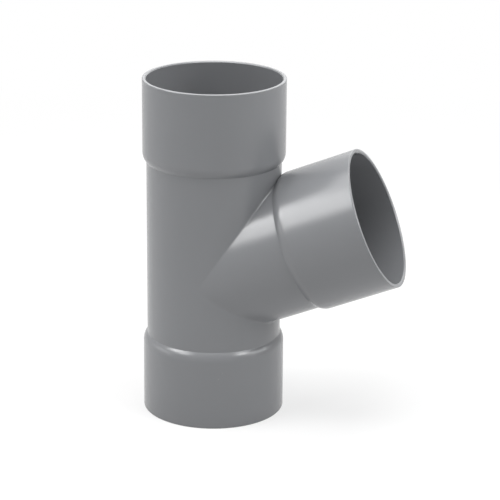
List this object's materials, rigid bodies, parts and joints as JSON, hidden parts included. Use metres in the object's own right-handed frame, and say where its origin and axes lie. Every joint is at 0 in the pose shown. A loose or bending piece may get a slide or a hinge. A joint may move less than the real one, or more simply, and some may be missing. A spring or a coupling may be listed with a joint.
{
  "type": "pipe branch fitting",
  "caption": "Grey PVC branch fitting: a straight run with a slanting side branch of the same bore, each end a plain cement socket with an inner stop and a rounded outer shoulder.",
  "frame": {"origin": "centre of the run's lower mouth, in the plane of its rim, which the fitting stands on", "axes": "+Z along the run from the lower mouth to the upper one, the way the branch rises; +X the side that the branch leaves from; +Y completes the frame, across the plane of symmetry"},
  "size_m": [0.1581, 0.085, 0.205],
  "materials": {
    "grey_pvc": "smooth semi-gloss grey, as moulded"
  },
  "bodies": {
    "root": {"branch_fitting": "grey_pvc"}
  },
  "joints": []
}
